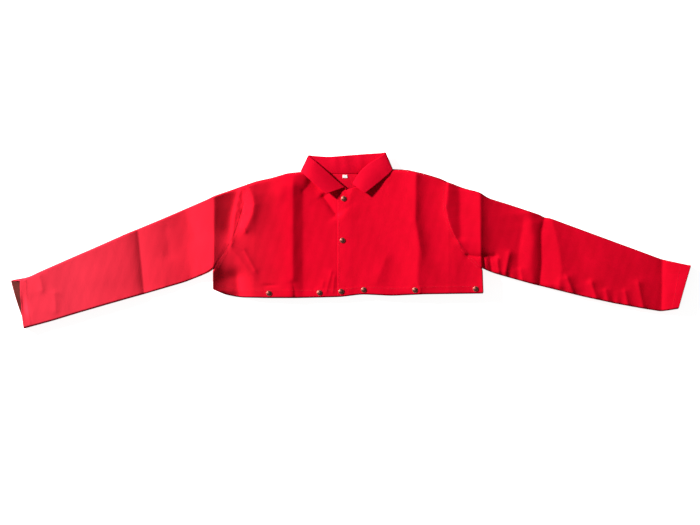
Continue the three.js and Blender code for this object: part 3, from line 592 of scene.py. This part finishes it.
def makeFront(side):
    # the plan lifted onto the front's height, and thickened inwards, more at the hem and the facing
    cut = frontCut[side]
    u, v = np.linspace(0, 1, cut["columns"])[None, :], np.linspace(0, 1, cut["rows"])[:, None]
    outward = 2 * u - 1
    u = np.where(u <= 0.5, u, 0.5 + (outward + smooth(outward)) / 4)  # columns closer by the crease and the side
    u[0, -2] = cut["lastColumn"]
    x, y = bodyPlan(side, "neck" + side, cut["centreX"], cut["creaseX"], 0, u, v)
    outer = np.stack([x, y, frontHeight(side, x, y)], 2)
    normals = gridNormals(outer, 1 if side == "Left" else -1)
    inHem, inFacing = cut["hemBand"] - (y - hemAt(x)), cut["facing"] - np.abs(x - cut["centreX"])
    thick = clothThick + cut["hemThick"] * smooth(inHem / cut["thickSoft"])
    thick = thick + cut["facingThick"] * smooth(inFacing / cut["thickSoft"])
    if cut["lap"]:
        thick = cut["thinEdge"] + (thick - cut["thinEdge"]) * smooth((x - cut["centreX"]) / cut["thinIn"])
    inner = outer - normals * thick[..., None]
    closedSheet(cut["node"], outer, inner, arcUv(outer), [redCotton, reverseCotton])


for sideName in sideHem:
    makeFront(sideName)

# Back: lies flat under everything, its hem a little lower than the fronts', swelling up a little at the neck.
backCut = dict(node="back_panel", centreX=-4, hemDrop=2.5, creaseX=dict(Right=-150, Left=150), columns=80, rows=90,
               neckRise=6, neckWide=80, neckFrom=90, neckOver=60)


def backHeight(x, y):
    # flat, with one bell-shaped swell across the neck that fades in going up
    swell = np.exp(-((x - backCut["centreX"]) / backCut["neckWide"]) ** 2)
    return backCut["neckRise"] * swell * smooth((y - backCut["neckFrom"]) / backCut["neckOver"])


def makeBack():
    # both halves of the plan joined down the centre, lying on the floor and one cloth thick
    cut = backCut
    v, u = np.linspace(0, 1, cut["rows"])[:, None], np.linspace(0, 1, cut["columns"])[None, :]
    halves = [bodyPlan(side, "neckBack", cut["centreX"], crease, cut["hemDrop"], u, v)
              for side, crease in cut["creaseX"].items()]
    x, y = (np.concatenate([right[:, ::-1], left[:, 1:]], 1) for right, left in zip(*halves))
    inner = np.stack([x, y, backHeight(x, y)], 2)
    outer = inner + np.array([0, 0, clothThick])
    closedSheet(cut["node"], outer, inner, arcUv(outer), [reverseCotton, redCotton])


makeBack()

# Sleeves: closed tubes lying flat, tucked a little under the fronts at the armhole, open at the cuff.
sleeveBoth = dict(
    rows=250, over=96, under=36, step=2.2, leadRows=3, tuck=2.5, tuckDrop=0.32, tuckFade=12, seamGap=0.4, settle=10,
    cuffBand=20, cuffStep=0.35, cuffSoft=2, endGap=0.01, bandRows=10, roll=8, rollFrom=30, rollTo=60, arc=6,
    edgeShare=0.06,  # share of the width over which relief comes in from a folded edge
    narrower=2.6, thinShare=0.5, thinLeast=0.3, sideShare=0.9,  # these keep the inside clear of the outside
)
sleeveCut = dict(
    Right=dict(sleeveBoth, node="sleeve_right", bow=-3, overhang=-24.5, overhangShare=0.85),
    Left=dict(sleeveBoth, node="sleeve_left", bow=0, overhang=0, overhangShare=1),
)


def sleevePath(side, w, over):
    # plan points for each station and each share w across the sleeve: the armhole's curve first, then straight
    # lines from upper edge to lower edge, the cuff's bowed, softened along the sleeve
    cut = sleeveCut[side]
    armhole = softLine(outline["armhole" + side])
    share = alongShare(armhole)
    first = np.stack([np.interp(w, share, armhole[:, k]) for k in (0, 1)], 1)
    stations = np.array(outline["sleeve" + side], float)
    lines = stations[:, None, 0:2] + (stations[:, None, 2:4] - stations[:, None, 0:2]) * w[None, :, None]
    lines[-1, :, 0] += 4 * cut["bow"] * w * (1 - w)
    if not over:
        lines[-1, :, 0] += cut["overhang"] * np.maximum(0, 1 - w / cut["overhangShare"])
    table = np.concatenate([first[None], lines]).reshape(len(lines) + 1, -1)
    return softLine(table, cut["step"]).reshape(-1, len(w), 2)


def walkPath(path, s):
    # points at distance s along each column of a path; before its start the first stretch is carried on straight
    step, rows = sleeveBoth["step"], sleeveBoth["leadRows"]
    place = np.clip(s / step, 0, len(path) - 1.001)  # up to just short of the last point
    low = place.astype(int)
    part = (place - low)[..., None]
    column = np.broadcast_to(np.arange(path.shape[1]), s.shape)
    at = path[low, column] * (1 - part) + path[low + 1, column] * part
    return at + ((path[rows] - path[0]) / (rows * step))[None] * np.minimum(s, 0)[..., None]


def pathLength(path):
    # its number of steps times the step
    return (len(path) - 1) * sleeveBoth["step"]


def sleeveLength(side):
    # mean length of the upper edge, the middle and the lower edge
    return pathLength(sleevePath(side, np.array([0.0, 0.5, 1.0]), True))


def sleeveTop(side, w, sTop):
    # points of the sleeve's upper layer at share w across and distance sTop from the armhole, raised over the turned-up
    # cuff and sunk where it tucks under the front
    cut = sleeveCut[side]
    path = sleevePath(side, w, True)
    window = smooth(w / cut["edgeShare"]) * smooth((1 - w) / cut["edgeShare"])
    settle, gap, tuck = cut["settle"], cut["seamGap"], cut["tuck"]
    settled = np.where(sTop < settle, gap + (sTop + tuck) * (settle - gap) / (settle + tuck), sTop)
    s = settled[:, None] + (sTop - settled)[:, None] * window[None, :]
    plan = walkPath(path, s)
    raised = cut["cuffStep"] * smooth((s - (pathLength(path) - cut["cuffBand"])) / cut["cuffSoft"])
    sunk = cut["tuckDrop"] * (1 - smooth(s / cut["tuckFade"]))
    z = topHeight(plan[..., 0], plan[..., 1]) + raised * window - sunk * window
    return np.concatenate([plan, z[..., None]], 2), settled


def makeSleeve(side):
    # upper layer, lower fold, lower layer on the floor and upper fold joined into one ring of columns, and an inner
    # ring drawn in from it
    cut = sleeveCut[side]
    sTop = np.linspace(-cut["tuck"], sleeveLength(side) - cut["endGap"], cut["rows"])
    even = np.linspace(0, 1, cut["over"])
    wOver, wUnder = (even + smooth(even)) / 2, np.linspace(1, 0, cut["under"])  # closer near the edges
    over, settled = sleeveTop(side, wOver, sTop)
    underPath = sleevePath(side, wUnder, False)
    s = np.broadcast_to((settled * pathLength(underPath) / settled[-1])[:, None], (len(settled), len(wUnder)))
    under = np.concatenate([walkPath(underPath, s), np.zeros(s.shape)[..., None]], 2)
    middle = ((over[:, :1] + over[:, -1:]) / 2)[..., :2]
    width = np.linalg.norm((over[:, 0] - over[:, -1])[:, :2], axis=1)
    roll = cut["roll"] * smooth(settled / cut["rollFrom"]) * smooth((settled[-1] - settled) / cut["rollTo"])
    under[..., :2] = middle + (under[..., :2] - middle) * (1 - 2 * roll / width)[:, None, None]
    angle = np.linspace(0, np.pi / 2, cut["arc"] + 2)[None, 1:-1, None]

    def foldSide(edge, base):
        # a quarter ellipse from the upper layer's edge down and in to the lower layer's edge
        return base[:, None] + (edge - base)[:, None] * np.concatenate(
            [np.cos(angle), np.cos(angle), 1 - np.sin(angle)], 2)

    lowSide, highSide = foldSide(over[:, -1], under[:, 0]), foldSide(over[:, 0], under[:, -1])[:, ::-1]
    outer = np.concatenate([over, lowSide, under, highSide], 1)
    inner = outer.copy()
    inner[..., :2] = middle + (outer[..., :2] - middle) * (1 - cut["narrower"] / width)[:, None, None]
    overZ = np.maximum(over[..., 2] - clothThick, over[..., 2] * cut["thinShare"] + cut["thinLeast"])
    lowZ, highZ = (np.clip(part[..., 2], clothThick, np.maximum(part[..., 2] * cut["sideShare"], clothThick))
                   for part in (lowSide, highSide))
    inner[..., 2] = np.concatenate([overZ, lowZ, np.full(under.shape[:2], clothThick), highZ], 1)
    uv = arcUv(np.concatenate([outer, outer[:, :1]], 1))
    closedSheet(cut["node"], outer, inner, uv, [redCotton, reverseCotton, overlockCotton], wrap=True,
                bandRows=cut["bandRows"])


for sideName in sideHem:
    makeSleeve(sideName)

# Collar: one section for each row, from the neck seam up the stand, over the roll and down the fall.
collarCut = dict(
    thick=1.8, rollRadius=1.6, standEase=2.6, seamSink=0.6, belly=1.6, lowest=0.95, steps=16,
    # seam x, y, roll x, y, z, outer edge x, y, z, heading of the fall in degrees
    rows=[
        (-9, 124, -15, 128.5, 12.5, -56, 112, 30, 90), (-33, 130.8, -33, 144, 13, -74, 126, 28, 95),
        (-60.5, 142, -57, 166, 13.5, -93, 143, 25.5, 105), (-88, 156.3, -83, 189, 13, -109, 158, 19.5, 125),
        (-104, 168, -99, 202.5, 9, -117, 167, 9, 180), (-88, 164.5, -85, 202, 6, -95, 173, 0.9, 262),
        (-50, 161, -50, 200, 7, -52, 169, 0.9, 270), (0, 160, -8, 203, 9.5, -6, 168, 0.9, 270),
        (45, 162, 40, 206.5, 12, 43, 171, 0.9, 270), (78, 167.5, 73, 208.5, 14, 80, 178, 0.9, 278),
        (95, 172.5, 84, 209.5, 15, 101, 172, 19, 360), (82, 161, 71, 199, 19.5, 94, 161, 23.6, 415),
        (60, 149, 47, 184, 22, 78, 147, 24.8, 435), (35, 136.5, 25, 164, 23, 56, 129, 27.6, 445),
        (12, 128, 7, 136, 22, 35, 113, 29.6, 450),
    ],
    stand=22, turn=14, fall=34,
    puckers=[(-36, 9, 1.0), (-14, 9, 1.0), (24, 10, 1.0)],  # across the back: x, half width, rise
)


def throughRows(rows, steps):
    # uniform Catmull-Rom curve through every row, steps points to each stretch, end rows repeated
    table = np.array(rows, float)
    table = np.concatenate([table[:1], table, table[-1:]])
    t = np.arange((len(rows) - 1) * steps + 1) / steps
    k = np.minimum(t.astype(int), len(rows) - 2)
    f = (t - k)[:, None]
    a, b, c, d = (table[k + n] for n in range(4))
    return 0.5 * (2 * b + (c - a) * f + (2 * a - 5 * b + 4 * c - d) * f**2 + (3 * b - a - 3 * c + d) * f**3)


def collarMiddle():
    # middle surface of the collar: a stand that eases upright, a half turn of fixed radius, and a straight fall
    cut = collarCut
    rows = throughRows(cut["rows"], cut["steps"])
    heading = np.radians(rows[:, 8])
    out = np.stack([np.cos(heading), 0 * heading, np.sin(heading)], 1)
    seamZ = np.where(out[:, 2] > 0, topHeight(rows[:, 0], rows[:, 1]) - cut["seamSink"],
                     backHeight(rows[:, 0], rows[:, 1]) + clothThick)
    seam = np.column_stack([rows[:, 0:2], np.maximum(seamZ, cut["lowest"])])
    roll, outer = rows[:, 2:5].copy(), rows[:, 5:8].copy()
    for x, half, rise in cut["puckers"]:
        roll[:, 2] += rise * np.exp(-((roll[:, 0] - x) / half) ** 2) * np.clip(-out[:, 2], 0, 1)
    outer[:, 2] = np.maximum(outer[:, 2], cut["lowest"])
    up = unit((roll - seam) * (1, 1, 0))
    radius = cut["rollRadius"]
    centre = roll - up * radius
    t = np.linspace(0, 1, cut["stand"], endpoint=False)[None, :, None]
    stand = seam[:, None] + (centre - out * radius - seam)[:, None] * np.concatenate(
        [t, t, 1 - (1 - t) ** cut["standEase"]], 2)
    angle = np.linspace(0, np.pi, cut["turn"], endpoint=False)[None, :, None]
    turn = centre[:, None] - out[:, None] * radius * np.cos(angle) + up[:, None] * radius * np.sin(angle)
    f = np.linspace(0, 1, cut["fall"])[None, :, None]
    start = centre + out * radius
    belly = np.sin(np.pi * f) * np.array([0, 0, cut["belly"]]) * np.clip(out[:, 2], 0, 1)[:, None, None]
    fall = start[:, None] + (outer - start)[:, None] * f + belly
    return np.concatenate([stand, turn, fall], 1)


def makeCollar():
    # the middle surface thickened half to each side
    middle = collarMiddle()
    normals = gridNormals(middle, 1)
    half = collarCut["thick"] / 2
    closedSheet("collar", middle + normals * half, middle - normals * half, arcUv(middle), [collarCotton])


makeCollar()

# Neck label: a small folded tape on the back neck, left plain.
labelCut = dict(width=11, height=7, thick=0.8, centreX=-12, topY=157, gap=0.7, curl=0.9, curlMiddle=0.4, columns=24,
                rows=16)


def makeLabel():
    # a flat grid whose free lower corners curl up as the square of the distance from the sewn edge
    cut = labelCut
    u, v = np.meshgrid(np.linspace(-1, 1, cut["columns"]), np.linspace(0, 1, cut["rows"]))
    x = cut["centreX"] + u * cut["width"] / 2
    y = cut["topY"] - cut["height"] * (1 - v)
    curl = cut["curl"] * (1 - v) ** 2 * (cut["curlMiddle"] + (1 - cut["curlMiddle"]) * u**2)
    low = np.stack([x, y, backHeight(x, y) + cut["gap"] + curl], 2)
    high = low + np.array([0, 0, cut["thick"]])
    closedSheet("neck_label", high, low, arcUv(high), [whiteTape], ending="_tape")


makeLabel()


def ringFaces(rings, sides):
    # quads round a tube of rings, and its two flat ends filled by strips across the disc
    r, c = np.mgrid[0:rings - 1, 0:sides]
    following = (c + 1) % sides
    skin = np.stack([r * sides + c, (r + 1) * sides + c, (r + 1) * sides + following, r * sides + following], -1)
    k = np.arange(sides // 2 - 1)
    disc = np.stack([k, k + 1, sides - 2 - k, sides - 1 - k], 1)
    return np.concatenate([skin.reshape(-1, 4), disc, disc[:, ::-1] + (rings - 1) * sides])


def makeSnap(node, place):
    # the profile turned about the cloth's normal at the seat, which is raised by the lap, facing and hem under it
    level, slopeX, slopeY = snapSeats[node]
    cut, layers = frontCut["Left"], 2 if node.startswith("front") else 1
    if layers == 2:
        level = level + cut["lap"] * snapSet["lapShare"] + cut["lapEdge"] + cut["facingStep"]
    if layers == 1 or place[1] < hemAt(place[0]) + cut["hemBand"]:
        level = level + cut["hemStep"]
    behind = -layers * snapSet["layerThick"]
    base = behind - snapSet["backThick"]
    rings = np.array(snapSet["profile"] + [(snapSet["postRadius"], behind), (snapSet["backRadius"], behind),
                                           (snapSet["backRadius"], base), (snapSet["profile"][0][0], base)])
    normal = unit(np.array([-slopeX, -slopeY, 1]))
    first = unit(np.cross([0, 1, 0], normal))
    second = np.cross(normal, first)
    sides = snapSet["sides"]
    angle = np.arange(sides) / sides * fullTurn
    spoke = np.cos(angle)[:, None] * first + np.sin(angle)[:, None] * second
    points = np.array([*place, level]) + rings[:, 0, None, None] * spoke + rings[:, 1, None, None] * normal
    piece = putMesh(node + "_cap", points.reshape(-1, 3), ringFaces(len(rings), sides), [snapBrass])
    worn = np.interp(np.arange(len(rings)), *np.array(snapSet["worn"]).T, right=snapSet["wornBelow"])
    attribute = piece.data.attributes.new("worn", "FLOAT", "POINT")
    attribute.data.foreach_set("value", np.repeat(worn, sides).astype(np.float32))
    pieces[node] = piece


for snapName, snapPlace in snapPlaces.items():
    makeSnap(snapName, snapPlace)

# Stitching: short thread lengths laid along sewing lines, ends dipping into the cloth.
stitchSet = dict(pitch=3.6, length=2.7, radius=0.3, sides=6, lift=0.08, dip=0.3,
                 along=[-1, -0.7, 0, 0.7, 1], girth=[0.35, 0.9, 1, 0.9, 0.35], sink=[1, 0.15, 0, 0.15, 1])


def stitchSpines(path, normals):
    # points along every stitch of a sewing line, centred at equal pitch, and the cloth's normals there
    run, pitch = walked(path), stitchSet["pitch"]
    centres = np.arange(0.5, run[-1] / pitch - 0.5) * pitch
    at = centres[:, None] + np.array(stitchSet["along"]) * stitchSet["length"] / 2
    return [np.stack([np.interp(at, run, column) for column in values.T], -1) for values in (path, normals)]


def makeStitches(name, rows):
    # all sewing lines of one piece as one mesh: each stitch a tapered ring tube bent down at its ends
    cut = stitchSet
    spine, normal = (np.concatenate(parts) for parts in zip(*(stitchSpines(*row) for row in rows)))
    spine = spine + normal * (cut["lift"] - cut["dip"] * np.array(cut["sink"])[None, :, None])
    side = unit(np.cross(normal, np.gradient(spine, axis=1)))
    rings, sides = len(cut["along"]), cut["sides"]
    angle = np.arange(sides) / sides * fullTurn
    girth = cut["radius"] * np.array(cut["girth"])[None, :, None, None]
    ring = side[:, :, None] * np.cos(angle)[:, None] + normal[:, :, None] * np.sin(angle)[:, None]
    points = spine[:, :, None] + girth * ring
    faces = ringFaces(rings, sides)[None] + (np.arange(len(spine)) * rings * sides)[:, None, None]
    pieces[name] = putMesh(name, points.reshape(-1, 3), faces.reshape(-1, 4), [redThread])


def onSurface(x, y, height, step=0.5):
    # a plan line lifted onto a height function, with the surface's normal along it from the slopes over a small step
    slopeX = (height(x + step, y) - height(x - step, y)) / (2 * step)
    slopeY = (height(x, y + step) - height(x, y - step)) / (2 * step)
    return np.stack([x, y, height(x, y)], 1), unit(np.stack([-slopeX, -slopeY, np.ones(len(x))], 1))


# Sewing lines: distance in from each edge, what is left free at their ends, and points along each.
sewing = dict(
    hem=15, hemEnds=(3, 6), hemPoints=180, placket=3.5, placketFrom=3, placketTo=99, placketPoints=130,
    armhole=(3, 9), armholeEnds=3, cuff=17, cuffEnds=0.03, cuffPoints=90, collar=5, collarEnds=4, collarSides=3,
    collarLook=6,  # rows apart, to find the way in from a front edge
)


def frontStitches(side):
    # hem row, a placket row on the lapping front, and two rows inside the armhole
    cut, height, sign = frontCut[side], partial(frontHeight, side), 1 if side == "Left" else -1
    start, end = sewing["hemEnds"]
    x = np.linspace(cut["centreX"] + sign * start, sideHem[side][0] - sign * end, sewing["hemPoints"])
    rows = [onSurface(x, hemAt(x) + sewing["hem"], height)]
    if cut["lap"]:
        x = np.full(sewing["placketPoints"], cut["centreX"] + sewing["placket"])
        y = np.linspace(hemAt(x[0]) + sewing["placketFrom"], sewing["placketTo"], sewing["placketPoints"])
        rows.append(onSurface(x, y, height))
    armhole = softLine(outline["armhole" + side])[sewing["armholeEnds"]:-sewing["armholeEnds"]]
    across = unit(np.gradient(armhole, axis=0))[:, ::-1] * (1, -1)
    for inset in sewing["armhole"]:
        rows.append(onSurface(*(armhole + sign * across * inset).T, height))
    makeStitches(cut["node"] + "_stitching", rows)


def sleeveStitches(side):
    # one row round the cuff's upper layer
    w = np.linspace(sewing["cuffEnds"], 1 - sewing["cuffEnds"], sewing["cuffPoints"])
    line = sleeveTop(side, w, np.array([sleeveLength(side) - sewing["cuff"]]))[0][0]

    def height(x, y):
        return topHeight(x, y) + sleeveBoth["cuffStep"]

    makeStitches(sleeveCut[side]["node"] + "_stitching", [onSurface(line[:, 0], line[:, 1], height)])


def collarStitches():
    # one row a set distance in from the free edges of the fall: down one front edge, along, and up the other
    middle = collarMiddle()
    normals = gridNormals(middle, 1)
    fall = slice(collarCut["stand"] + collarCut["turn"], None)
    top, normals = (middle + normals * collarCut["thick"] / 2)[:, fall], normals[:, fall]
    ends, sides = (slice(sewing[key], -sewing[key]) for key in ("collarEnds", "collarSides"))
    edge = top[:, -1] + unit(top[:, -2] - top[:, -1]) * sewing["collar"]
    rows = [(edge[ends], normals[ends, -1])]
    for end, step in ((0, 1), (-1, -1)):
        far = top[end] + unit(top[end + sewing["collarLook"] * step] - top[end]) * sewing["collar"]
        rows.append((far[sides], normals[end, sides]))
    makeStitches("collar_stitching", rows)


for sideName in sideHem:
    frontStitches(sideName)
    sleeveStitches(sideName)
collarStitches()

# Studio: white floor, one lamp low on the left, even white fill, and a camera straight above.
studio = dict(
    pixel=2.4, centreY=-52.8, height=6000, sensor=36, imageWidth=700,
    keyPlace=(-6.69, 3.7, 3.83), keyAim=(0.1, 0.0, 0.0), keyWatts=1440, keySize=1.05,
    fill=0.13, white=(1, 1, 1, 1), floorHex="#F4F3F1", floorRough=0.9, floorGlow=0.88, floorHalf=9.0, floorDrop=0.5,
)


def makeStudio():
    # the camera's lens follows from its height and the width of a pixel; the lamp is turned to its aim
    scene = bpy.context.scene
    camera = addObject("camera", bpy.data.cameras.new("camera"))
    camera.location = (0, studio["centreY"] * mm, studio["height"] * mm)
    camera.data.sensor_width = studio["sensor"]
    camera.data.lens = studio["sensor"] * studio["height"] / (studio["pixel"] * studio["imageWidth"])
    scene.camera = camera
    lamp = addObject("keyLamp", bpy.data.lights.new("keyLamp", "AREA"))
    lamp.data.energy, lamp.data.shape, lamp.data.size = studio["keyWatts"], "DISK", studio["keySize"]
    lamp.location = studio["keyPlace"]
    aim = np.array(studio["keyAim"]) - np.array(studio["keyPlace"])
    lamp.rotation_euler = Vector(aim).to_track_quat("-Z", "Y").to_euler()
    scene.world = bpy.data.worlds.new("studioWorld")
    scene.world.use_nodes = True
    setInputs(scene.world.node_tree.nodes["Background"], {"Color": studio["white"], "Strength": studio["fill"]})
    paper, _, shader = newMaterial("whitePaperFloor")
    setInputs(shader, {"Base Color": hexLinear(studio["floorHex"]), "Roughness": studio["floorRough"],
                       "Emission Color": studio["white"], "Emission Strength": studio["floorGlow"]})
    mesh = bpy.data.meshes.new("floor")
    mesh.from_pydata([(studio["floorHalf"] * x, studio["floorHalf"] * y, -studio["floorDrop"] * mm)
                      for x, y in ((-1, -1), (1, -1), (1, 1), (-1, 1))], [], [(0, 1, 2, 3)])
    mesh.materials.append(paper)
    floor = addObject("floor", mesh)
    floor.visible_diffuse = False  # the glow whitens the paper without lighting the cloth from below
    scene.view_settings.view_transform = "Standard"
    print("studio set")


makeStudio()

slotOf = dict(red_cotton=["back_panel", "front_panel_right", "front_panel_left", "sleeve_right", "sleeve_left"],
              collar_cotton=["collar"], label_tape=["neck_label"], snap_brass=list(snapPlaces))
for slotName, nodes in slotOf.items():
    for node in nodes:
        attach(pieces[node], "root")
        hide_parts(node)
for node in ("front_panel_right", "front_panel_left", "sleeve_right", "sleeve_left", "collar"):
    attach(pieces[node + "_stitching"], "root")
